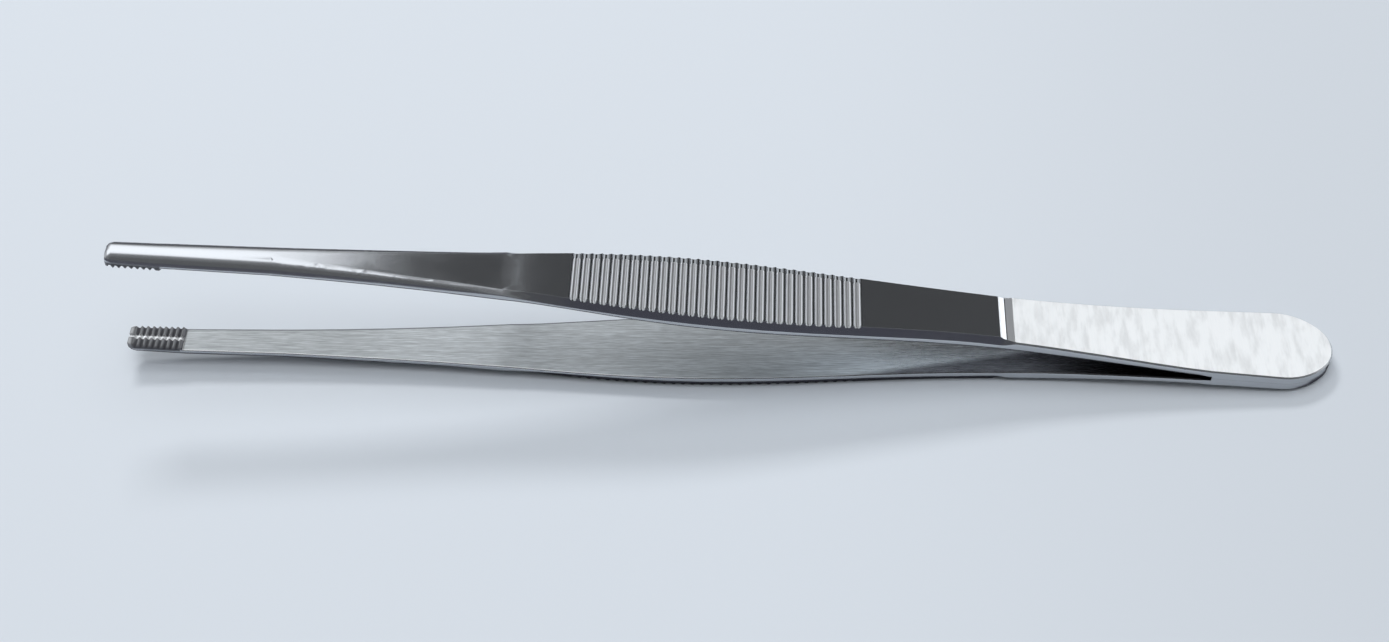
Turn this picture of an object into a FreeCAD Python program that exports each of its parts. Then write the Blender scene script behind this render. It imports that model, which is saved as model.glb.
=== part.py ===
"""Thumb forceps, 150 mm long, with two rows of teeth in each jaw.

Two equal spring arms are welded face to face at the rear and ground flush there.
Each arm is drawn with its tip at x = 0, its tail at x = 150, and the plane between
the arms at z = 0. The pair is then laid down as it rests on a table: on the belly of
the lower grip and on the tail. All lengths are in millimetres.
"""

import FreeCAD, Part
import math
import os

import Sketcher

# Driving sizes: name, value, what it is.
SIZES = [
    # Lengths from the tip to the tail, one after the other.
    ("nose_length", 0.35, "rounded end of the tip"),
    ("nose_back_length", 0.55, "from the nose to the full section of the tip"),
    ("jaw_length", 5.7, "toothed part of the tip"),
    ("jaw_step_length", 0.35, "step behind the teeth"),
    ("neck_length", 13.05, "slim half-round shank behind the jaw"),
    ("shank_length", 14.0, "shank where the half-round turns flat"),
    ("flare_length", 14.0, "flat part that widens towards the grip"),
    ("grip_fore_length", 14.0, "front of the thumb grip"),
    ("grip_middle_length", 14.0, "up to the widest place of the grip"),
    ("grip_rear_length", 14.0, "rear of the thumb grip"),
    ("spring_front_length", 10.0, "spring section, first half"),
    ("spring_rear_length", 8.45, "spring section, second half"),
    ("step_top_length", 0.3, "steep top of the step down to the pad"),
    ("step_foot_length", 0.45, "gentle foot of the step"),
    ("corner_length", 1.2, "rounded front corners of the pad"),
    ("pad_front_length", 5.1, "front of the rear pad"),
    ("pad_middle_length", 5.5, "middle of the rear pad"),
    ("pad_rear_length", 9.0, "rear pad, up to the narrow end of the slot"),
    ("slot_end_length", 4.7, "narrow end of the slot between the arms"),
    ("weld_length", 8.7, "straight part of the welded block"),
    ("tail_length", 6.6, "rounded tail of the block"),
    # Width of the arm.
    ("nose_width", 2.5, "at the very end"),
    ("nose_back_width", 2.86, "where the nose starts to round off"),
    ("tip_width", 3.1, "front of the jaw"),
    ("jaw_width", 3.44, "rear of the jaw"),
    ("neck_width", 3.88, "rear of the slim shank"),
    ("shank_width", 5.06, "where the shank has turned flat"),
    ("flare_width", 6.88, "front of the ribbed grip"),
    ("grip_fore_width", 9.06, "grip, front"),
    ("grip_width", 9.86, "grip, widest place"),
    ("grip_rear_width", 8.74, "grip, rear"),
    ("spring_width", 7.74, "spring section"),
    ("waist_width", 7.34, "narrowest place, around the step"),
    ("pad_front_width", 7.6, "rear pad, front"),
    ("pad_middle_width", 8.14, "rear pad, middle"),
    ("pad_rear_width", 9.3, "rear pad, rear"),
    ("weld_width", 9.88, "front of the welded block"),
    ("tail_width", 10.5, "rear of the welded block"),
    ("tail_end_radius", 4.3, "rounding of the very end of the tail"),
    # Height of the inner face over the plane between the arms.
    ("tip_rise", 7.47, "along the teeth, which stand proud of the shank"),
    ("jaw_rise", 7.87, "behind the teeth"),
    ("neck_rise", 7.54, "rear of the slim shank"),
    ("shank_rise", 7.08, "where the shank has turned flat"),
    ("flare_rise", 6.5, "front of the ribbed grip"),
    ("grip_fore_rise", 5.72, "grip, front"),
    ("grip_rise", 4.62, "grip, widest place"),
    ("grip_rear_rise", 3.66, "grip, rear"),
    ("spring_rise", 2.98, "spring section"),
    ("step_top_rise", 2.38, "top of the step"),
    ("step_middle_rise", 2.355, "half way down the step"),
    ("step_foot_rise", 2.32, "foot of the step"),
    ("corner_rise", 2.2, "behind the pad's front corners"),
    ("pad_front_rise", 1.75, "rear pad, front"),
    ("pad_middle_rise", 1.32, "rear pad, middle"),
    ("slot_rise", 0.64, "start of the slot's narrow end"),
    ("slot_end_rise", 0.36, "half of the slot's blunt end"),
    # The upper arm is bowed a little differently: added to its rise, taken from the lower one's.
    ("jaw_lean", -0.53, "along the jaw"),
    ("neck_lean", -0.23, "rear of the slim shank"),
    ("shank_lean", -0.05, "where the shank has turned flat"),
    ("flare_lean", 0.14, "front of the ribbed grip"),
    ("grip_lean", 0.08, "grip, front"),
    ("step_lean", -0.1, "step and front of the pad"),
    ("pad_lean", -0.06, "rear pad, middle"),
    # Thickness of the arm.
    ("nose_thick", 1.43, "at the very end"),
    ("nose_back_thick", 1.86, "where the nose starts to round off"),
    ("tip_thick", 2.08, "jaw"),
    ("jaw_thick", 1.7, "behind the teeth"),
    ("neck_thick", 1.74, "slim shank"),
    ("shank_thick", 1.48, "where the shank has turned flat"),
    ("flare_thick", 1.28, "front of the ribbed grip"),
    ("grip_fore_thick", 1.68, "grip, front"),
    ("grip_thick", 1.86, "grip, widest place"),
    ("grip_rear_thick", 1.8, "grip, rear"),
    ("spring_thick", 1.75, "spring section"),
    ("step_top_thick", 1.7, "top of the step"),
    ("step_middle_thick", 1.5, "half way down the step"),
    ("step_foot_thick", 1.37, "foot of the step"),
    ("corner_thick", 1.34, "behind the pad's front corners"),
    ("pad_front_thick", 1.26, "rear pad, front"),
    ("pad_middle_thick", 1.1, "rear pad, middle"),
    ("pad_rear_thick", 0.92, "rear pad, rear"),
    ("slot_end_thick", 0.94, "beside the slot's blunt end"),
    ("tail_thick", 1.14, "half of the welded block's thickness, at the tail"),
    # Outer edges: rounded from the nose to the shank, bevelled from there to the tail.
    ("nose_round", 0.85, "radius at the very end"),
    ("nose_back_round", 1.22, "radius where the nose starts to round off"),
    ("tip_round", 1.45, "radius at the front of the jaw, close to a half-round"),
    ("neck_round", 1.62, "radius along the slim shank, close to a half-round"),
    ("shank_round", 1.1, "radius where the shank turns flat"),
    ("flare_bevel", 0.62, "bevel at the front of the ribbed grip, across"),
    ("flare_drop", 0.42, "and down"),
    ("grip_bevel", 0.47, "bevel along the grip, across"),
    ("grip_drop", 1.22, "and down"),
    ("spring_bevel", 0.47, "bevel of the spring section, across"),
    ("spring_drop", 1.08, "and down"),
    ("step_bevel", 0.42, "bevel half way down the step, across"),
    ("step_drop", 0.85, "and down"),
    ("foot_bevel", 0.36, "bevel at the foot of the step, across"),
    ("foot_drop", 0.66, "and down"),
    ("pad_bevel", 0.17, "bevel of the rear pad and the welded block, across"),
    ("pad_drop", 0.17, "and down"),
    # Ribbed grip.
    ("groove_count", 30, "grooves across the grip"),
    ("groove_pitch", 1.182, "from one groove to the next"),
    ("groove_width", 0.96, "width of a groove at the surface"),
    ("groove_depth", 0.28, "depth of a groove"),
    ("groove_lead", 8.65, "first groove behind the front of the grip"),
    # Jaw teeth.
    ("tooth_count", 8, "notches in each row"),
    ("tooth_pitch", 0.75, "from one notch to the next"),
    ("tooth_depth", 0.38, "depth of a notch"),
    ("notch_width", 0.62, "width of a notch at its mouth"),
    ("notch_floor", 0.16, "width of a notch at its floor"),
    ("tooth_lead", 0.6, "first notch behind the end of the tip"),
    ("channel_width", 0.5, "smooth channel between the two rows"),
    ("channel_depth", 0.32, "depth of the channel"),
    ("channel_length", 7.0, "channel, from the end of the tip"),
]

# How far each rise differs between the arms, where it does.
LEANS = {
    "tip_rise": "jaw_lean",
    "jaw_rise": "jaw_lean",
    "neck_rise": "neck_lean",
    "shank_rise": "shank_lean",
    "flare_rise": "flare_lean",
    "grip_fore_rise": "grip_lean",
    "step_top_rise": "step_lean",
    "step_middle_rise": "step_lean",
    "step_foot_rise": "step_lean",
    "corner_rise": "step_lean",
    "pad_front_rise": "step_lean",
    "pad_middle_rise": "pad_lean",
}

# Cross sections from tip to tail: name, end of which length, width, rise, thickness, edge.
SECTIONS = [
    ("nose", None, "nose_width", "tip_rise", "nose_thick", "nose_round"),
    ("nose_back", "nose_length", "nose_back_width", "tip_rise", "nose_back_thick", "nose_back_round"),
    ("tip", "nose_back_length", "tip_width", "tip_rise", "tip_thick", "tip_round"),
    ("jaw", "jaw_length", "jaw_width", "tip_rise", "tip_thick", "neck_round"),
    ("jaw_foot", "jaw_step_length", "jaw_width", "jaw_rise", "jaw_thick", "neck_round"),
    ("neck", "neck_length", "neck_width", "neck_rise", "neck_thick", "neck_round"),
    ("shank", "shank_length", "shank_width", "shank_rise", "shank_thick", "shank_round"),
    ("flare", "flare_length", "flare_width", "flare_rise", "flare_thick", "flare_bevel"),
    ("grip_fore", "grip_fore_length", "grip_fore_width", "grip_fore_rise", "grip_fore_thick", "grip_bevel"),
    ("grip", "grip_middle_length", "grip_width", "grip_rise", "grip_thick", "grip_bevel"),
    ("grip_rear", "grip_rear_length", "grip_rear_width", "grip_rear_rise", "grip_rear_thick", "grip_bevel"),
    ("spring", "spring_front_length", "spring_width", "spring_rise", "spring_thick", "spring_bevel"),
    ("step_top", "spring_rear_length", "waist_width", "step_top_rise", "step_top_thick", "spring_bevel"),
    ("step_middle", "step_top_length", "waist_width", "step_middle_rise", "step_middle_thick", "step_bevel"),
    ("step_foot", "step_foot_length", "waist_width", "step_foot_rise", "step_foot_thick", "foot_bevel"),
    ("corner", "corner_length", "waist_width", "corner_rise", "corner_thick", "pad_bevel"),
    ("pad_front", "pad_front_length", "pad_front_width", "pad_front_rise", "pad_front_thick", "pad_bevel"),
    ("pad_middle", "pad_middle_length", "pad_middle_width", "pad_middle_rise", "pad_middle_thick", "pad_bevel"),
    ("pad_rear", "pad_rear_length", "pad_rear_width", "slot_rise", "pad_rear_thick", "pad_bevel"),
    ("slot_end", "slot_end_length", "weld_width", "slot_end_rise", "slot_end_thick", "pad_bevel"),
]

doc = FreeCAD.newDocument("thumb_forceps")

sheet = doc.addObject("Spreadsheet::Sheet", "Sizes")
for row, (alias, value, note) in enumerate(SIZES, start=1):
    sheet.set("A%d" % row, note)
    sheet.set("B%d" % row, str(value))
    sheet.setAlias("B%d" % row, alias)
doc.recompute()

ALIASES = [alias for alias, value, note in SIZES]
LENGTHS = ALIASES[: ALIASES.index("tail_length") + 1]


def size(alias):
    """Current value of a size in the sheet."""
    return float(sheet.get(alias))


def value_of(expression):
    """Number that an expression over the sheet gives."""
    return float(sheet.evalExpression(expression))


def place(last):
    """Expression for the distance from the tip to the end of the named length."""
    if last is None:
        return "0"
    names = LENGTHS[: LENGTHS.index(last) + 1]
    return " + ".join("Sizes." + name for name in names)


def rise_of(alias, side):
    """Expression for a rise of the upper arm (side "+") or the lower arm (side "-")."""
    if alias not in LEANS:
        return "Sizes." + alias
    return "(Sizes.%s %s Sizes.%s)" % (alias, side, LEANS[alias])


# Places and heights that are worked out from the sizes.
FLARE_END = place("flare_length")
BLOCK_START = place("slot_end_length")
HEEL = place("weld_length")
WELD_THICK = "Sizes.slot_end_rise + Sizes.slot_end_thick"
TAIL_THICK = "Sizes.tail_thick"
GROOVE_RADIUS = "(Sizes.groove_width ^ 2 / 4 + Sizes.groove_depth ^ 2) / (2 * Sizes.groove_depth)"


def attach(sketch, body, role, shift=None):
    """Lay a sketch on one of its body's own planes, moved along the plane's normal."""
    plane = next(part for part in body.Origin.OriginFeatures if part.Role == role)
    sketch.AttachmentSupport = [(plane, "")]
    sketch.MapMode = "FlatFace"
    if shift is not None:
        sketch.setExpression("AttachmentOffset.Base.z", shift)


def add_line(sketch, ax, ay, bx, by):
    """Straight line in a sketch."""
    start = FreeCAD.Vector(ax, ay, 0)
    end = FreeCAD.Vector(bx, by, 0)
    return sketch.addGeometry(Part.LineSegment(start, end))


def add_arc(sketch, cx, cy, radius, begin, end):
    """Circular arc in a sketch, from one angle to the other."""
    circle = Part.Circle(FreeCAD.Vector(cx, cy, 0), FreeCAD.Vector(0, 0, 1), radius)
    return sketch.addGeometry(Part.ArcOfCircle(circle, begin, end))


def rule(sketch, *terms):
    """Geometric constraint in a sketch."""
    return sketch.addConstraint(Sketcher.Constraint(*terms))


def dimension(sketch, name, expression, *terms):
    """Dimension in a sketch, bound to the sheet."""
    index = rule(sketch, *terms)
    sketch.renameConstraint(index, name)
    sketch.setExpression("Constraints." + name, expression)


def cross_section(body, name, where, width, rise, thick, edge):
    """Section of an arm: flat inner face, two sides, outer edges rounded or bevelled.

    Without a rise, the inner face lies on the plane between the arms.
    """
    sketch = body.newObject("Sketcher::SketchObject", name)
    attach(sketch, body, "YZ_Plane", where)
    half = value_of(width) / 2
    low = value_of(rise) if rise else 0.0
    top = low + value_of(thick)
    reach = value_of(edge)
    rounded = edge.endswith("_round")
    drop_size = edge if rounded else edge.replace("_bevel", "_drop")
    drop = value_of(drop_size)

    inner = add_line(sketch, -half, low, half, low)
    right = add_line(sketch, half, low, half, top - drop)
    if rounded:
        right_edge = add_arc(sketch, half - reach, top - reach, reach, 0, math.pi / 2)
    else:
        right_edge = add_line(sketch, half, top - drop, half - reach, top)
    outer = add_line(sketch, half - reach, top, reach - half, top)
    if rounded:
        left_edge = add_arc(sketch, reach - half, top - reach, reach, math.pi / 2, math.pi)
    else:
        left_edge = add_line(sketch, reach - half, top, -half, top - drop)
    left = add_line(sketch, -half, top - drop, -half, low)

    join = "Tangent" if rounded else "Coincident"
    rule(sketch, "Coincident", inner, 2, right, 1)
    rule(sketch, join, right, 2, right_edge, 1)
    rule(sketch, join, right_edge, 2, outer, 1)
    rule(sketch, "Coincident", outer, 2, left_edge, 1)
    rule(sketch, "Coincident", left_edge, 2, left, 1)
    rule(sketch, "Coincident", left, 2, inner, 1)
    rule(sketch, "Vertical", right)
    rule(sketch, "Symmetric", inner, 1, inner, 2, -2)
    rule(sketch, "Symmetric", outer, 1, outer, 2, -2)
    rule(sketch, "Symmetric", right, 2, left, 1, -2)
    dimension(sketch, "width", width, "DistanceX", inner, 1, inner, 2, 2 * half)
    dimension(sketch, "thick", thick, "DistanceY", inner, 1, outer, 2, top - low)
    if rounded:
        dimension(sketch, "edge", edge, "Radius", right_edge, reach)
        rule(sketch, "Equal", right_edge, left_edge)
    else:
        dimension(sketch, "edge", edge, "DistanceX", outer, 1, right, 2, reach)
        dimension(sketch, "edge_drop", drop_size, "DistanceY", right, 2, outer, 1, drop)
    if rise:
        dimension(sketch, "rise", rise, "DistanceY", -1, 1, inner, 1, low)
    else:
        rule(sketch, "PointOnObject", inner, 1, -1)
    return sketch


def tail_outline(body):
    """Plan of the tail: two side arcs that run into a smaller end arc."""
    sketch = body.newObject("Sketcher::SketchObject", "tail_outline")
    attach(sketch, body, "XY_Plane")
    heel = value_of(HEEL)
    half = size("tail_width") / 2
    radius = size("tail_end_radius")
    reach = size("tail_length") - radius
    side = (reach**2 + half**2 - radius**2) / (2 * (half - radius))
    turn = math.atan2(side - half, reach)

    straight = add_line(sketch, heel, half, heel, -half)
    near = add_arc(sketch, heel, side - half, side, -math.pi / 2, -turn)
    end = add_arc(sketch, heel + reach, 0, radius, -turn, turn)
    far = add_arc(sketch, heel, half - side, side, turn, math.pi / 2)

    rule(sketch, "Coincident", straight, 2, near, 1)
    rule(sketch, "Tangent", near, 2, end, 1)
    rule(sketch, "Tangent", end, 2, far, 1)
    rule(sketch, "Coincident", far, 2, straight, 1)
    rule(sketch, "PointOnObject", end, 3, -1)
    rule(sketch, "PointOnObject", near, 3, straight)
    rule(sketch, "Equal", near, far)
    rule(sketch, "Symmetric", straight, 1, straight, 2, -1)
    dimension(sketch, "heel", HEEL, "DistanceX", -1, 1, straight, 1, heel)
    dimension(sketch, "width", "Sizes.tail_width", "DistanceY", straight, 2, straight, 1, 2 * half)
    dimension(sketch, "radius", "Sizes.tail_end_radius", "Radius", end, radius)
    centre = "Sizes.tail_length - Sizes.tail_end_radius"
    dimension(sketch, "centre", centre, "DistanceX", straight, 1, end, 3, reach)
    return sketch


def loft(body, name, sections, ruled=False):
    """Solid through cross sections, added to the body."""
    feature = body.newObject("PartDesign::AdditiveLoft", name)
    feature.Profile = sections[0]
    feature.Sections = sections[1:]
    feature.Ruled = ruled
    return feature


def cut_across(body, name, sketch):
    """Cut a sketch of the side view through the whole width of the arm."""
    feature = body.newObject("PartDesign::Pocket", name)
    feature.Profile = sketch
    feature.Type = "ThroughAll"
    feature.SideType = "Two sides"
    feature.Type2 = "ThroughAll"
    return feature


def outer_height(shape, x):
    """Height of the arm's outer face at a place along it."""
    probe = Part.makeLine(FreeCAD.Vector(x, 0, 0), FreeCAD.Vector(x, 0, 100))
    return shape.common(probe).BoundBox.ZMax


def cut_grooves(body):
    """Row of round-bottomed grooves across the grip, which follow its bow."""
    grip = body.Shape
    sketch = body.newObject("Sketcher::SketchObject", "groove_row")
    attach(sketch, body, "XZ_Plane")
    radius = value_of(GROOVE_RADIUS)
    first_circle = None
    for number in range(round(size("groove_count"))):
        where = "%s + Sizes.groove_lead + %d * Sizes.groove_pitch" % (FLARE_END, number)
        x = value_of(where)
        z = outer_height(grip, x) + radius - size("groove_depth")
        centre = FreeCAD.Vector(x, z, 0)
        circle = sketch.addGeometry(Part.Circle(centre, FreeCAD.Vector(0, 0, 1), radius))
        dimension(sketch, "place%d" % number, where, "DistanceX", -1, 1, circle, 3, x)
        rule(sketch, "DistanceY", -1, 1, circle, 3, z)
        if first_circle is None:
            first_circle = circle
            dimension(sketch, "radius", GROOVE_RADIUS, "Radius", circle, radius)
        else:
            rule(sketch, "Equal", first_circle, circle)
    cut_across(body, "grooves", sketch)


def cut_teeth(body, lead, rise):
    """Two rows of teeth: a channel along the jaw and a row of notches across it."""
    channel = body.newObject("Sketcher::SketchObject", "channel_section")
    attach(channel, body, "YZ_Plane", "-Sizes.nose_length")
    half = size("channel_width") / 2
    jaw = value_of(rise)
    depth = size("channel_depth")
    floor = add_line(channel, half, jaw + depth, -half, jaw + depth)
    left = add_line(channel, -half, jaw + depth, -half, jaw - depth)
    mouth = add_line(channel, -half, jaw - depth, half, jaw - depth)
    right = add_line(channel, half, jaw - depth, half, jaw + depth)
    for one, other in ((floor, left), (left, mouth), (mouth, right), (right, floor)):
        rule(channel, "Coincident", one, 2, other, 1)
    rule(channel, "Vertical", left)
    rule(channel, "Vertical", right)
    rule(channel, "Symmetric", floor, 1, floor, 2, -2)
    dimension(channel, "width", "Sizes.channel_width", "DistanceX", floor, 2, floor, 1, 2 * half)
    above = rise + " + Sizes.channel_depth"
    below = rise + " - Sizes.channel_depth"
    dimension(channel, "floor", above, "DistanceY", -1, 1, floor, 1, jaw + depth)
    dimension(channel, "mouth", below, "DistanceY", -1, 1, mouth, 1, jaw - depth)
    dimension(channel, "base", below, "DistanceY", -1, 1, mouth, 2, jaw - depth)
    slot = body.newObject("PartDesign::Pocket", "channel")
    slot.Profile = channel
    slot.Reversed = True
    slot.setExpression("Length", "Sizes.nose_length + Sizes.channel_length")

    notch = body.newObject("Sketcher::SketchObject", "notch_section")
    attach(notch, body, "XZ_Plane")
    middle = value_of(lead)
    mouth_half = size("notch_width") / 2
    floor_half = size("notch_floor") / 2
    deep = size("tooth_depth")
    spread = 2 * mouth_half - floor_half
    top = add_line(notch, middle - floor_half, jaw + deep, middle + floor_half, jaw + deep)
    rear = add_line(notch, middle + floor_half, jaw + deep, middle + spread, jaw - deep)
    base = add_line(notch, middle + spread, jaw - deep, middle - spread, jaw - deep)
    front = add_line(notch, middle - spread, jaw - deep, middle - floor_half, jaw + deep)
    for one, other in ((top, rear), (rear, base), (base, front), (front, top)):
        rule(notch, "Coincident", one, 2, other, 1)
    rule(notch, "Horizontal", top)
    rule(notch, "Horizontal", base)
    rule(notch, "Equal", rear, front)
    start = lead + " - Sizes.notch_floor / 2"
    dimension(notch, "place", start, "DistanceX", -1, 1, top, 1, middle - floor_half)
    dimension(notch, "floor", "Sizes.notch_floor", "DistanceX", top, 1, top, 2, 2 * floor_half)
    dimension(notch, "top", rise + " + Sizes.tooth_depth", "DistanceY", -1, 1, top, 1, jaw + deep)
    dimension(notch, "base", rise + " - Sizes.tooth_depth", "DistanceY", -1, 1, base, 1, jaw - deep)
    spread_size = "2 * Sizes.notch_width - Sizes.notch_floor"
    dimension(notch, "spread", spread_size, "DistanceX", base, 2, base, 1, 2 * spread)
    first = cut_across(body, "notch", notch)
    row = body.newObject("PartDesign::LinearPattern", "notch_row")
    row.Originals = [first]
    row.Direction = (notch, ["H_Axis"])
    row.setExpression("Length", "(Sizes.tooth_count - 1) * Sizes.tooth_pitch")
    row.setExpression("Occurrences", "Sizes.tooth_count")
    body.Tip = row


def make_arm(label, tooth_lead, side):
    """One arm, tip at x = 0, its inner face towards the plane z = 0."""
    body = doc.addObject("PartDesign::Body", label)
    body.Label = label

    # Rounded tail with a bevelled rim.
    tail = body.newObject("PartDesign::Pad", "tail")
    tail.Profile = tail_outline(body)
    tail.setExpression("Length", TAIL_THICK)
    doc.recompute()
    thick = value_of(TAIL_THICK)
    rim = [
        "Edge%d" % number
        for number, edge in enumerate(tail.Shape.Edges, start=1)
        if edge.BoundBox.ZMin > thick / 2 and isinstance(edge.Curve, Part.Circle)
    ]
    bevel = body.newObject("PartDesign::Chamfer", "tail_bevel")
    bevel.Base = (tail, rim)
    bevel.setExpression("Size", "Sizes.pad_bevel")

    # Straight part of the welded block.
    edge = "Sizes.pad_bevel"
    heel = cross_section(body, "heel", HEEL, "Sizes.tail_width", None, TAIL_THICK, edge)
    front = cross_section(body, "weld_front", BLOCK_START, "Sizes.weld_width", None, WELD_THICK, edge)
    loft(body, "weld_block", [heel, front], ruled=True)

    # Rear pad, step, bowed arm and nose, one after the other towards the tip.
    sections = {}
    for name, last, width, rise, thick, edge in SECTIONS:
        sections[name] = cross_section(
            body,
            name,
            place(last),
            "Sizes." + width,
            rise_of(rise, side),
            "Sizes." + thick,
            "Sizes." + edge,
        )
    names = list(sections)

    def span(start, end):
        low = names.index(start)
        high = names.index(end)
        return [sections[name] for name in reversed(names[low : high + 1])]

    loft(body, "rear_pad", span("corner", "slot_end"))
    loft(body, "step", span("step_top", "corner"), ruled=True)
    loft(body, "spring_and_grip", span("flare", "step_top"))
    loft(body, "shank", span("neck", "flare"))
    loft(body, "jaw_and_nose", span("nose", "neck"), ruled=True)
    doc.recompute()

    smooth_arm = body.Shape.copy()
    cut_grooves(body)
    cut_teeth(body, tooth_lead, rise_of("tip_rise", side))
    doc.recompute()
    return body, smooth_arm


def resting_tilt(lower_shape):
    """Angle at which the pair rests, in radians: the tips stand up by it.

    The lower arm touches the table with its belly and with the rim of its tail.
    """
    rim_x = value_of(place("tail_length")) - size("pad_bevel")
    rim_z = value_of(TAIL_THICK)
    start = value_of(FLARE_END)
    end = value_of(place("spring_front_length"))
    steps = 60
    places = [start + (end - start) * step / steps for step in range(steps + 1)]
    slopes = [(outer_height(lower_shape, x) - rim_z) / (rim_x - x) for x in places]
    return math.atan(max(slopes))


# The teeth of one jaw close into the notches of the other: half a pitch apart.
upper_arm, upper_shape = make_arm("upper_arm", "Sizes.tooth_lead", "+")
lower_arm, lower_shape = make_arm("lower_arm", "Sizes.tooth_lead + Sizes.tooth_pitch / 2", "-")

# Lay the pair down: lower arm turned over, both tilted, then set on the table
# with the middle of the pair's outline over the origin.
TURN_OVER = FreeCAD.Placement(FreeCAD.Vector(), FreeCAD.Rotation(FreeCAD.Vector(1, 0, 0), 180))
tilt = FreeCAD.Rotation(FreeCAD.Vector(0, 1, 0), math.degrees(resting_tilt(lower_shape)))
upper_arm.Placement = FreeCAD.Placement(FreeCAD.Vector(), tilt)
lower_arm.Placement = upper_arm.Placement.multiply(TURN_OVER)
doc.recompute()

pair = Part.makeCompound([upper_arm.Shape, lower_arm.Shape]).optimalBoundingBox(False)
middle = FreeCAD.Vector(pair.Center.x, pair.Center.y, pair.ZMin)
for arm in (upper_arm, lower_arm):
    arm.Placement.move(-middle)
doc.recompute()

ARMS = (upper_arm, lower_arm)
for item in doc.Objects:
    if "Invalid" in item.State or "Error" in item.State:
        raise RuntimeError("%s failed: %s" % (item.Name, item.getStatusString()))
for arm in ARMS:
    if arm.Shape.isNull() or not arm.Shape.isValid() or len(arm.Shape.Solids) != 1:
        raise RuntimeError("%s is not one valid solid" % arm.Label)

os.makedirs("parts", exist_ok=True)
for arm in ARMS:
    arm.Shape.exportStep("parts/%s.step" % arm.Label)
    box = arm.Shape.optimalBoundingBox(False)
    print("%s: %.1f mm3, x %.2f to %.2f, y %.2f to %.2f, z %.2f to %.2f" % (
        arm.Label, arm.Shape.Volume, box.XMin, box.XMax, box.YMin, box.YMax, box.ZMin, box.ZMax))
print("rests tilted by %.2f degrees" % math.degrees(tilt.Angle))
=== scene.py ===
import math

import bpy
import numpy as np
from mathutils import Matrix, Vector

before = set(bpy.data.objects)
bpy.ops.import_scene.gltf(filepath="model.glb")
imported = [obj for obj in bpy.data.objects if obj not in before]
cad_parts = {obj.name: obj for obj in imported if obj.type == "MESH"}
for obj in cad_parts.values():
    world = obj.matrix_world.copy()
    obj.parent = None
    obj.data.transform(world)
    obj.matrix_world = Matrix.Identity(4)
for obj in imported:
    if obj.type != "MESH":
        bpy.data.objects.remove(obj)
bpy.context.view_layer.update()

MM = 0.001

# Camera: the photograph's view of the pair, in millimetres of the part's own frame.
CAMERA_PLACE = (10.132, -164.064, 206.558)
CAMERA_RIGHT = (0.99862931, 0.03525683, -0.03868415)
CAMERA_UP = (-0.00264943, 0.77219248, 0.63538315)
LENS_MM = 54.276
SENSOR_MM = 36.0

# The lamp stands behind the part and a little to the left, where its shadow says it is.
LAMP_FROM = (-0.34, 0.88, 0.98)
LAMP_DISTANCE = 1.0
LAMP_WIDTH = 0.34
LAMP_HEIGHT = 0.17
LAMP_POWER = 3.6

FLOOR_HALF = 1.5
FLOOR_COLOUR = (0.66, 0.70, 0.75)
# Painted shade: the floor's colour falls to this share to the right of the part.
FLOOR_SHADED_SHARE = 0.92  # share of that colour left to the right of the part
FLOOR_UNLIT = (0.12, 0.12, 0.14, 1)

# Places along the tilted arms, in millimetres from the middle of the pair.
TILT = math.radians(4.14)
TEETH_END = -68.9
SHANK_END = -26.0
PAD_START = 35.0
WELD_START = 59.0

# Half width of the arms at places from the tip, in millimetres.
LENGTH = 150
ARM_HALF_WIDTHS = (
    (0, 1.5), (20, 1.94), (34, 2.53), (48, 3.44), (62, 4.53), (76, 4.93), (90, 4.37), (104, 3.75),
    (116, 3.8), (130, 4.65), (146, 5.1), (148.5, 4.0), (LENGTH, 2.0))
WIDEST = 10  # half width that the ramp of widths shows as 1

# Grip grooves, in millimetres.
FIRST_GROOVE = -18.536
GROOVE_PITCH = 1.182
GROOVES = 30
GRIP_MIDDLE = 0.33
GROOVE_ASIDE = 0.25     # how far the grooves' middles lie off the arm's middle
GROOVE_REACH = 3.76     # half length of a groove without its round ends, at the middle of the grip
GROOVE_LOSS = 0.0024    # how much shorter they get, per square of the distance from there
# Painted highlights: light and dark lines inside each groove, at this pitch.
GLINT_LINE_PITCH = 0.36       # fine lines inside a groove

# Shading rounds angles up to this, in front of and behind the end of the shank.
ROUND_IN_FRONT = math.cos(math.radians(34))
ROUND_BEHIND = math.cos(math.radians(9))
SAME_PLACE = 2e-7

# Rounding of edges that the shading takes up, in metres.
SHARP_EDGE = 0.00004
SOFT_EDGE = 0.0005
GRAIN_HEIGHT = 0.00006

# Colours of the steel.
STEEL = (0.53, 0.545, 0.57, 1)
WORN_EDGE = (0.66, 0.67, 0.69, 1)
# Painted shade: the bevels along the outer face, behind the shank.
BEVEL_SHADE = (0.38, 0.39, 0.43, 1)
# Painted reflection: the polished land between grip grooves, painted dark.
LAND_DARK_REFLECTION = (0.20, 0.21, 0.22, 1)
# Painted highlight: the bright strip on the step before the pad.
LEDGE_HIGHLIGHT = (0.80, 0.81, 0.83, 1)
# The pad's brushed grain is real; its lightness, far above the steel's, is a painted sheen.
PAD_SHEEN_DARK = (0.90, 0.92, 0.93, 1)
PAD_SHEEN_LIGHT = (1.0, 1.0, 1.0, 1)
# Painted shade and light: the inner face is darker at its tip and lighter further back.
INNER_TIP_SHADE = (0.45, 0.47, 0.48, 1)
INNER_FRONT = (0.56, 0.585, 0.60, 1)
INNER_REAR_LIT = (0.76, 0.79, 0.81, 1)
# Painted shade: the dark wedge that the other arm casts and mirrors on the inner face.
WEDGE_SHADE = (0.20, 0.20, 0.215, 1)
# Painted shade: the inner faces in the narrow slot before the weld, nearly black.
SLOT_SHADE = (0.06, 0.06, 0.065, 1)
GROOVE = (0.58, 0.59, 0.61, 1)
# Painted highlight on the near inner edge and painted shade on the far one.
NEAR_RIM_HIGHLIGHT = (0.95, 0.96, 0.97, 1)
FAR_RIM_SHADE = (0.30, 0.31, 0.33, 1)
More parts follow.
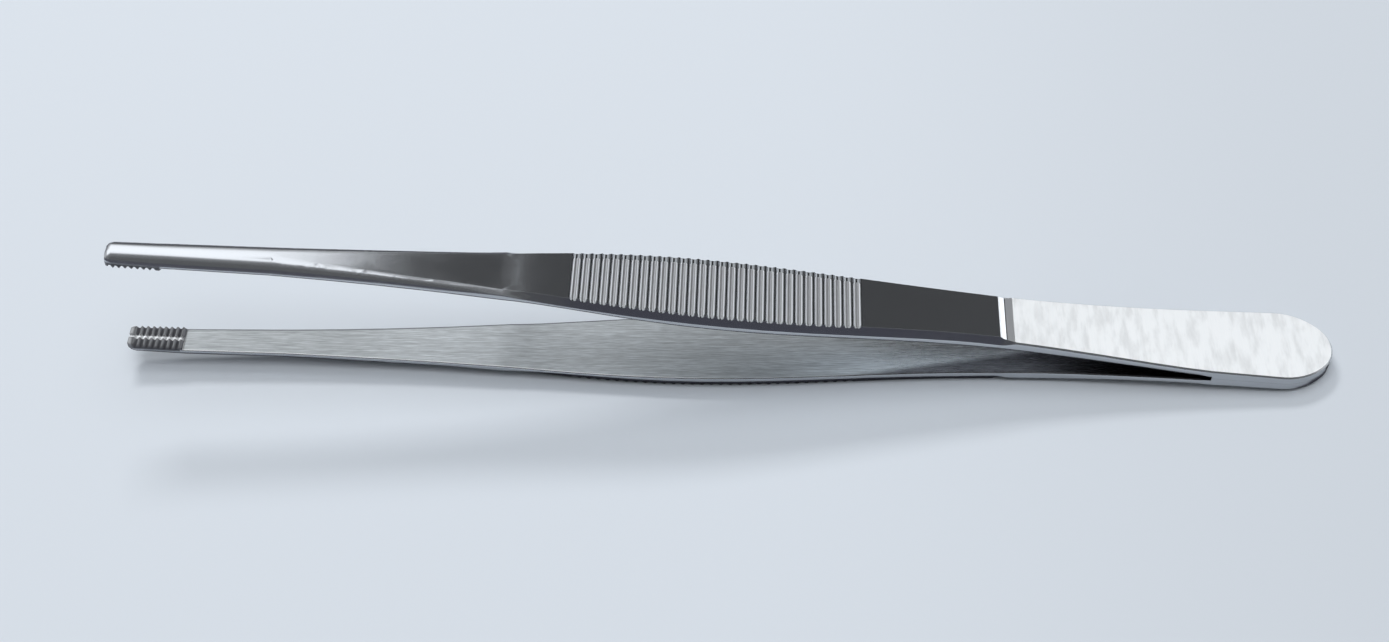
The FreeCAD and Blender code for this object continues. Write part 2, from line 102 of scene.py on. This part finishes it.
# Painted shade: the edges of the side walls, nearly black.
WALL_EDGE_SHADE = (0.12, 0.12, 0.13, 1)
# Painted shade between the teeth and painted highlights on their ridges.
TOOTH_GAP_SHADE = (0.09, 0.09, 0.10, 1)
TOOTH_RIDGE_HIGHLIGHT = (0.55, 0.56, 0.57, 1)
CHANNEL = (0.85, 0.86, 0.87, 1)


class Nodes:
    """Short way to add and join nodes of one tree."""

    def __init__(self, tree):
        self.tree = tree
        self.tree.nodes.clear()

    def add(self, kind, **values):
        node = self.tree.nodes.new(kind)
        for name, value in values.items():
            setattr(node, name, value)
        return node

    def plug(self, value, socket):
        if isinstance(value, bpy.types.NodeSocket):
            self.tree.links.new(value, socket)
        else:
            socket.default_value = value

    def math(self, operation, *inputs):
        node = self.add("ShaderNodeMath", operation=operation)
        for value, socket in zip(inputs, node.inputs):
            self.plug(value, socket)
        return node.outputs[0]

    def product(self, first, *others):
        for other in others:
            first = self.math("MULTIPLY", first, other)
        return first

    def ramp(self, value, low, high, start=0.0, end=1.0):
        """Smooth step of a value from low to high."""
        node = self.add("ShaderNodeMapRange", interpolation_type="SMOOTHSTEP")
        names = ("Value", "From Min", "From Max", "To Min", "To Max")
        for name, item in zip(names, (value, low, high, start, end)):
            self.plug(item, node.inputs[name])
        return node.outputs[0]

    def mix(self, factor, one, other):
        """Mix of two numbers."""
        node = self.add("ShaderNodeMix", data_type="FLOAT")
        for value, socket in zip((factor, one, other), (0, 2, 3)):
            self.plug(value, node.inputs[socket])
        return node.outputs[0]

    def mix_colour(self, factor, one, other, blend="MIX"):
        node = self.add("ShaderNodeMix", data_type="RGBA", blend_type=blend)
        for value, socket in zip((factor, one, other), (0, 6, 7)):
            self.plug(value, node.inputs[socket])
        return node.outputs[2]

    def tone(self, colour, strength):
        """Colour made lighter or darker by a number."""
        grey = self.add("ShaderNodeCombineColor")
        for socket in grey.inputs[:3]:
            self.plug(strength, socket)
        return self.mix_colour(1.0, colour, grey.outputs[0], "MULTIPLY")

    def number_layers(self, base, *layers):
        """Numbers laid over a base, each where its mask is 1."""
        for mask, value in layers:
            base = self.mix(mask, base, value)
        return base

    def colour_layers(self, base, *layers):
        """Colours laid over a base, each where its mask is 1."""
        for mask, colour in layers:
            base = self.mix_colour(mask, base, colour)
        return base

    def split(self, vector):
        node = self.add("ShaderNodeSeparateXYZ")
        self.plug(vector, node.inputs[0])
        return node.outputs

    def noise(self, vector, scales, detail=3.0, rough=0.5):
        """Noise stretched by one scale per axis."""
        place = self.add("ShaderNodeMapping")
        self.plug(vector, place.inputs["Vector"])
        place.inputs["Scale"].default_value = scales
        node = self.add("ShaderNodeTexNoise")
        self.plug(place.outputs[0], node.inputs["Vector"])
        node.inputs["Scale"].default_value = 1.0
        node.inputs["Detail"].default_value = detail
        node.inputs["Roughness"].default_value = rough
        return node.outputs[0]


class Steel(Nodes):
    """Satin stainless steel of one arm. outward is +1 where the outer face looks up, else -1."""

    def __init__(self, name, outward):
        self.material = bpy.data.materials.new(name)
        self.material.use_nodes = True
        super().__init__(self.material.node_tree)
        self.outward = float(outward)
        self.geometry = self.add("ShaderNodeNewGeometry").outputs
        self.find_faces()
        self.find_grooves()
        self.find_teeth()
        self.find_edges()
        self.draw_lines()
        self.join()

    def find_faces(self):
        """Place in millimetres, s along the tilted arm, and masks of its faces."""
        millimetres = self.add("ShaderNodeVectorMath", operation="SCALE")
        self.plug(self.add("ShaderNodeTexCoord").outputs["Object"], millimetres.inputs[0])
        millimetres.inputs["Scale"].default_value = 1 / MM
        self.place = millimetres.outputs[0]
        x, self.y, z = self.split(self.place)
        self.s = self.math("SUBTRACT", self.product(x, math.cos(TILT)),
                           self.product(z, math.sin(TILT)))
        upward = self.split(self.geometry["True Normal"])[2]
        self.facing = self.product(upward, self.outward)
        self.outer = self.ramp(self.facing, 0.85, 0.95)
        self.inner = self.ramp(self.facing, -0.85, -0.95)
        self.pad = self.product(self.outer, self.ramp(self.s, PAD_START, PAD_START + 0.2))
        # Painted highlight on the step just before the pad.
        self.ledge_highlight = self.product(self.outer, self.ramp(self.s, PAD_START - 0.95, PAD_START - 0.75))
        self.shank = self.product(self.ramp(self.s, -38.0, -50.0), self.ramp(self.facing, 0.5, 0.7))

    def find_grooves(self):
        """Grip grooves: satin inside their round-ended outline, with painted highlight lines;
        polished land between them, painted dark as a painted reflection.
        """
        step = self.math("DIVIDE", self.math("SUBTRACT", self.s, FIRST_GROOVE), GROOVE_PITCH)
        number = self.math("ROUND", step)
        aside = self.product(self.math("SUBTRACT", step, number), GROOVE_PITCH)
        self.gripped = self.product(self.math("GREATER_THAN", number, -0.5),
                                    self.math("LESS_THAN", number, GROOVES - 0.5))
        middle = self.math("SUBTRACT", self.s, GRIP_MIDDLE)
        half = self.math("SUBTRACT", GROOVE_REACH, self.product(middle, middle, GROOVE_LOSS))
        across = self.math("ABSOLUTE", self.math("ADD", self.y, GROOVE_ASIDE * self.outward))
        past = self.math("MAXIMUM", self.math("SUBTRACT", across, half), 0.0)
        away = self.math("SQRT", self.math("ADD", self.product(aside, aside),
                                           self.product(past, past)))
        top = self.ramp(self.facing, 0.45, 0.6)
        self.flute = self.product(self.gripped, top, self.ramp(away, 0.45, 0.38))
        # Painted reflection: the land between the grooves is painted dark.
        self.land_reflection = self.product(self.gripped, top, self.math("SUBTRACT", 1.0, self.flute))
        # Painted highlights: light and dark lines across each groove.
        self.lines = self.math("COSINE", self.product(aside, 2 * math.pi / GLINT_LINE_PITCH))

    def find_teeth(self):
        """Teeth: painted shade between their ridges and painted highlights on them, with a bright
        channel between the two rows.
        """
        toothed = self.product(self.ramp(self.s, TEETH_END + 0.55, TEETH_END + 0.35),
                               self.ramp(self.facing, 0.2, 0.0))
        sloped = self.product(self.ramp(self.facing, -0.90, -0.80),
                              self.ramp(self.facing, -0.05, -0.15),
                              self.ramp(self.s, TEETH_END + 3.0, TEETH_END + 2.0))
        across = self.math("ABSOLUTE", self.y)
        self.channel = self.product(toothed, self.ramp(across, 0.30, 0.22))
        self.teeth = self.product(self.math("MAXIMUM", toothed, sloped),
                                  self.ramp(across, 0.22, 0.30))
        # Painted highlights on ridges, from how pointed the surface is.
        self.ridge_highlight = self.ramp(self.geometry["Pointiness"], 0.53, 0.72)

    def find_edges(self):
        """Slightly rounded and worn edges, painted highlights and painted shade along edges, and
        painted shade on the bevels along the outer face.
        """
        edges = self.add("ShaderNodeBevel", samples=16)
        soft = self.product(self.ramp(self.facing, 0.20, 0.12),
                            self.ramp(self.s, WELD_START, WELD_START - 1.0))
        self.plug(self.mix(soft, SHARP_EDGE, SOFT_EDGE), edges.inputs["Radius"])
        self.rounded = edges.outputs[0]
        turned = self.add("ShaderNodeVectorMath", operation="DOT_PRODUCT")
        self.plug(self.rounded, turned.inputs[0])
        self.plug(self.geometry["Normal"], turned.inputs[1])
        turned = turned.outputs["Value"]
        self.worn = self.product(self.ramp(turned, 0.985, 0.90),
                                 self.math("SUBTRACT", 1.0, self.gripped))
        # Painted shade on the bevels along the outer face, behind the shank.
        self.bevel_shade = self.product(self.ramp(self.facing, 0.15, 0.25),
                                  self.ramp(self.facing, 0.65, 0.55),
                                  self.ramp(self.s, SHANK_END - 4.0, SHANK_END + 4.0))
        # Painted highlight and shade along the inner face's edges, in front.
        self.rim_light_shade = self.product(self.ramp(turned, 0.985, 0.93), self.ramp(self.s, 8.0, -12.0),
                                self.inner)
        # Painted shade along the side walls' edges.
        self.wall_edge_shade = self.product(self.ramp(turned, 0.95, 0.87),
                                  self.ramp(self.math("ABSOLUTE", self.facing), 0.3, 0.2))

    def draw_lines(self):
        """Brushed lines: across on the pad, along on the inner faces, faint on the flats."""
        self.across = self.noise(self.place, (8.0, 0.25, 0.25), 4.0, 0.65)
        self.along = self.noise(self.place, (0.16, 7.0, 0.3), 4.0, 0.7)
        self.streaks = self.noise(self.place, (0.5, 11.0, 0.5), 2.0, 0.6)
        self.clouds = self.noise(self.place, (0.3, 0.5, 0.5), 3.0, 0.5)
        self.scratches = self.noise(self.place, (1.2, 14.0, 1.2), 2.0, 0.7)
        self.patches = self.noise(self.place, (0.9, 0.22, 0.2), 3.0, 0.6)

    def roughness(self):
        front = self.mix(self.along, 0.40, 0.52)
        rear = self.mix(self.along, 0.20, 0.34)
        return self.number_layers(
            self.mix(self.clouds, 0.12, 0.17),
            (self.inner, self.mix(self.ramp(self.s, -10.0, 25.0), front, rear)),
            (self.ledge_highlight, 0.40),
            (self.pad, self.mix(self.across, 0.50, 0.66)),
            (self.shank, self.mix(self.along, 0.13, 0.20)),
            (self.flute, self.mix(self.scratches, 0.40, 0.55)),
            (self.teeth, 0.5))

    def inside_colour(self):
        """Inner face: it darkens towards the weld, first along its near edge; that darkening is
        painted shade, and the face is also painted darker at the tip and lighter further back for
        how light falls on it.
        """
        slant = self.math("SUBTRACT", self.product(self.s, 0.171),
                          self.product(self.y, -self.outward))
        # Painted shade: a dark wedge where the other arm darkens the inner face, from its near
        # edge.
        wedge_shade = self.product(self.ramp(slant, 6.4, 7.5), self.ramp(self.s, 8.0, 22.0))
        plain = self.colour_layers(
            INNER_FRONT,
            # Painted shade at the tip and painted light further back.
            (self.ramp(self.s, -36.0, -52.0), INNER_TIP_SHADE),
            (self.ramp(self.s, 0.0, 20.0), INNER_REAR_LIT),
            (wedge_shade, WEDGE_SHADE),
            # Painted shade in the slot before the weld.
            (self.ramp(self.s, 34.0, 54.0), SLOT_SHADE))
        return self.tone(plain, self.product(self.ramp(self.along, 0.3, 0.7, 0.80, 1.20),
                                             self.ramp(self.streaks, 0.3, 0.7, 0.82, 1.18)))

    def colour(self):
        # Painted sheen: the pad's brushed grain in colours far lighter than the steel.
        satin = self.tone(self.mix_colour(self.across, PAD_SHEEN_DARK, PAD_SHEEN_LIGHT),
                          self.ramp(self.patches, 0.30, 0.60, 0.86, 1.0))
        # Painted highlights: the grooves' colour is lighter and darker in lines.
        ribbed_glints = self.tone(GROOVE, self.ramp(self.lines, -1.0, 1.0, 0.45, 1.25))
        return self.colour_layers(
            STEEL,
            (self.worn, WORN_EDGE),
            (self.bevel_shade, BEVEL_SHADE),
            (self.land_reflection, LAND_DARK_REFLECTION),
            (self.ledge_highlight, LEDGE_HIGHLIGHT),
            (self.pad, satin),
            (self.inner, self.inside_colour()),
            (self.flute, ribbed_glints),
            (self.rim_light_shade, self.mix_colour(self.ramp(self.y, -0.5, 0.5), NEAR_RIM_HIGHLIGHT, FAR_RIM_SHADE)),
            (self.wall_edge_shade, WALL_EDGE_SHADE),
            (self.teeth, self.mix_colour(self.ridge_highlight, TOOTH_GAP_SHADE, TOOTH_RIDGE_HIGHLIGHT)),
            (self.channel, CHANNEL))

    def grain(self):
        """Normals roughened by the brushed lines, over the rounded edges."""
        bump = self.add("ShaderNodeBump")
        height = self.number_layers(self.scratches, (self.pad, self.across),
                                    (self.inner, self.along))
        strength = self.number_layers(0.03, (self.pad, 0.14), (self.inner, 0.10))
        self.plug(height, bump.inputs["Height"])
        self.plug(strength, bump.inputs["Strength"])
        self.plug(self.rounded, bump.inputs["Normal"])
        bump.inputs["Distance"].default_value = GRAIN_HEIGHT
        return bump.outputs[0]

    def join(self):
        """Steel shader, whose highlight is drawn out across the brushed lines."""
        tangent = self.add("ShaderNodeCombineXYZ")
        self.plug(self.pad, tangent.inputs[0])
        self.plug(self.math("SUBTRACT", 1.0, self.pad), tangent.inputs[1])
        shader = self.add("ShaderNodeBsdfPrincipled")
        shader.inputs["Metallic"].default_value = 1.0
        shader.inputs["Anisotropic"].default_value = 0.8
        self.plug(tangent.outputs[0], shader.inputs["Tangent"])
        self.plug(self.colour(), shader.inputs["Base Color"])
        self.plug(self.roughness(), shader.inputs["Roughness"])
        self.plug(self.grain(), shader.inputs["Normal"])
        self.plug(shader.outputs[0], self.add("ShaderNodeOutputMaterial").inputs[0])


def read(collection, name, kind, width=1):
    """One property of every item of a mesh collection, as an array."""
    values = np.zeros(len(collection) * width, kind)
    collection.foreach_get(name, values)
    return values if width == 1 else values.reshape(-1, width)


def smooth_normals(piece):
    """Rounds the shading over slight edges, also across seams, and keeps ground creases sharp."""
    mesh = piece.data
    places = read(mesh.vertices, "co", np.float64, 3)
    flat = read(mesh.polygons, "normal", np.float64, 3)
    corners = read(mesh.loops, "vertex_index", np.int64)
    starts = read(mesh.polygons, "loop_start", np.int64)
    totals = read(mesh.polygons, "loop_total", np.int64)
    owner = np.repeat(np.arange(len(starts)), totals)
    spots = places[corners]

    # Angle of each face at each of its corners, which weighs its normal there.
    following = np.arange(len(corners)) + 1
    following[starts + totals - 1] = starts
    before = np.arange(len(corners)) - 1
    before[starts] = starts + totals - 1
    one = spots[following] - spots
    two = spots[before] - spots
    lengths = np.linalg.norm(one, axis=1) * np.linalg.norm(two, axis=1)
    weight = np.arccos(np.clip((one * two).sum(1) / np.maximum(lengths, 1e-15), -1, 1))

    keys = np.round(places / SAME_PLACE).astype(np.int64)
    groups = np.unique(keys, axis=0, return_inverse=True)[1].reshape(-1)
    around = {}
    for loop, group in enumerate(groups[corners]):
        around.setdefault(group, []).append(loop)
    result = np.zeros((len(corners), 3))
    for loops in around.values():
        loops = np.array(loops)
        normals = flat[owner[loops]]
        in_front = spots[loops[0], 0] < SHANK_END * MM
        close = (normals @ normals.T) > (ROUND_IN_FRONT if in_front else ROUND_BEHIND)
        result[loops] = (close * weight[loops][None, :]) @ normals
    result /= np.maximum(np.linalg.norm(result, axis=1, keepdims=True), 1e-12)
    mesh.polygons.foreach_set("use_smooth", np.ones(len(starts), bool))
    mesh.normals_split_custom_set([tuple(normal) for normal in result])
    mesh.update()


def make_camera():
    """The photograph's camera."""
    right = Vector(CAMERA_RIGHT)
    up = Vector(CAMERA_UP)
    turn = Matrix((right, up, right.cross(up))).transposed().to_4x4()
    data = bpy.data.cameras.new("camera")
    data.lens = LENS_MM
    data.sensor_width = SENSOR_MM
    data.sensor_fit = "HORIZONTAL"
    data.clip_start = 0.01
    data.clip_end = 20.0
    camera = bpy.data.objects.new("camera", data)
    camera.matrix_world = Matrix.Translation(Vector(CAMERA_PLACE) * MM) @ turn
    bpy.context.scene.collection.objects.link(camera)
    bpy.context.scene.camera = camera


def arm_width(n, x):
    """Half width of the arms in metres at each x, from a ramp over their length."""
    widths = n.add("ShaderNodeValToRGB")
    n.plug(n.math("MULTIPLY_ADD", x, 1 / (LENGTH * MM), 0.5), widths.inputs[0])
    stops = widths.color_ramp.elements
    for along, half_width in ARM_HALF_WIDTHS:
        if 0 < along < LENGTH:
            stop = stops.new(along / LENGTH)
        else:
            stop = stops[0 if along == 0 else -1]
        grey = half_width / WIDEST
        stop.color = (grey, grey, grey, 1)
    return n.math("MULTIPLY", widths.outputs[0], WIDEST * MM)


def make_floor():
    """Plain pale floor, painted a little darker to the right as painted shade. Steel mirrors it
    dark far away and in the gap under the arms; that dark is painted shade that only reflections
    see.
    """
    mesh = bpy.data.meshes.new("floor")
    outline = [(-FLOOR_HALF, -FLOOR_HALF, 0), (FLOOR_HALF, -FLOOR_HALF, 0),
               (FLOOR_HALF, FLOOR_HALF, 0), (-FLOOR_HALF, FLOOR_HALF, 0)]
    mesh.from_pydata(outline, [], [(0, 1, 2, 3)])
    floor = bpy.data.objects.new("floor", mesh)
    bpy.context.scene.collection.objects.link(floor)
    material = bpy.data.materials.new("floor")
    material.use_nodes = True
    n = Nodes(material.node_tree)
    x, y, _ = n.split(n.add("ShaderNodeTexCoord").outputs["Object"])
    # Painted shade in reflections: the floor is dark under the arms, and also far in front and far
    # behind.
    under = n.ramp(n.math("SUBTRACT", n.math("ABSOLUTE", y), arm_width(n, x)), 0.0004, 0.0)
    unlit = n.math("MAXIMUM", n.ramp(y, -0.022, -0.034), under)
    unlit = n.math("MAXIMUM", unlit, n.ramp(y, 0.03, 0.05))
    mirrored = n.product(n.add("ShaderNodeLightPath").outputs["Is Glossy Ray"], unlit)
    # Painted shade: the floor darkens to the right of the part.
    pale = n.mix_colour(n.ramp(x, 0.0, 0.09), (*FLOOR_COLOUR, 1),
                        (*(FLOOR_SHADED_SHARE * part for part in FLOOR_COLOUR), 1))
    shader = n.add("ShaderNodeBsdfDiffuse")
    n.plug(n.mix_colour(mirrored, pale, FLOOR_UNLIT), shader.inputs["Color"])
    n.plug(shader.outputs[0], n.add("ShaderNodeOutputMaterial").inputs[0])
    mesh.materials.append(material)


def make_lamp():
    """Soft lamp above and behind the part."""
    data = bpy.data.lights.new("lamp", "AREA")
    data.shape = "RECTANGLE"
    data.size = LAMP_WIDTH
    data.size_y = LAMP_HEIGHT
    data.energy = LAMP_POWER
    data.use_shadow = True
    lamp = bpy.data.objects.new("lamp", data)
    direction = Vector(LAMP_FROM).normalized()
    turn = direction.to_track_quat("Z", "Y").to_matrix().to_4x4()
    lamp.matrix_world = Matrix.Translation(direction * LAMP_DISTANCE) @ turn
    lamp.visible_glossy = False
    bpy.context.scene.collection.objects.link(lamp)


def make_world():
    """Pale room. x, y and z are the parts of a direction: to the right, to the back and up."""
    world = bpy.data.worlds.new("room")
    bpy.context.scene.world = world
    world.use_nodes = True
    n = Nodes(world.node_tree)
    x, y, z = n.split(n.add("ShaderNodeTexCoord").outputs["Generated"])
    above = n.ramp(z, 0.25, 0.45)

    def patch(left, right, low, high, edge):
        return n.product(above, n.ramp(x, left, left + edge), n.ramp(x, right, right - edge),
                         n.ramp(y, low, low + 0.1), n.ramp(y, high, high - 0.1))

    # What the steel mirrors: a lit panel on the left, a dark ceiling beside it and a dim front.
    mirrored = n.number_layers(
        0.75,
        (patch(-0.10, 0.47, 0.20, 0.95, 0.06), 0.095),
        (n.product(n.ramp(y, 0.22, 0.12), n.ramp(z, 0.93, 0.97)), 0.40),
        (n.ramp(y, -0.15, -0.50), 0.27),
        (n.ramp(y, -0.60, -0.80), 0.17),
        (n.product(n.ramp(y, 0.78, 0.90), n.ramp(z, 0.45, 0.30)), 0.15),
        (patch(-0.92, -0.025, -0.34, 0.80, 0.05), 1.8),
        (n.product(n.ramp(x, 0.52, 0.60), n.ramp(y, 0.30, 0.45)), 2.45))
    # The floor is lit from overhead, apart from the lamp. The camera sees an even room.
    rays = n.add("ShaderNodeLightPath").outputs
    light = n.number_layers(
        0.85,
        (rays["Is Glossy Ray"], mirrored),
        (rays["Is Diffuse Ray"], n.ramp(z, 0.80, 0.95, 0.24, 2.7)))
    shader = n.add("ShaderNodeBackground")
    shader.inputs["Color"].default_value = (0.95, 0.975, 1.0, 1)
    n.plug(light, shader.inputs["Strength"])
    n.plug(shader.outputs[0], n.add("ShaderNodeOutputWorld").inputs[0])
    world.cycles.sampling_method = "NONE"


make_camera()
make_floor()
make_lamp()
make_world()

for name, outward in (("upper_arm", 1), ("lower_arm", -1)):
    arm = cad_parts[name]
    smooth_normals(arm)
    steel = Steel("steel_" + arm.name, outward)
    for slot in arm.material_slots:
        slot.material = steel.material

bpy.context.scene.view_settings.view_transform = "Standard"
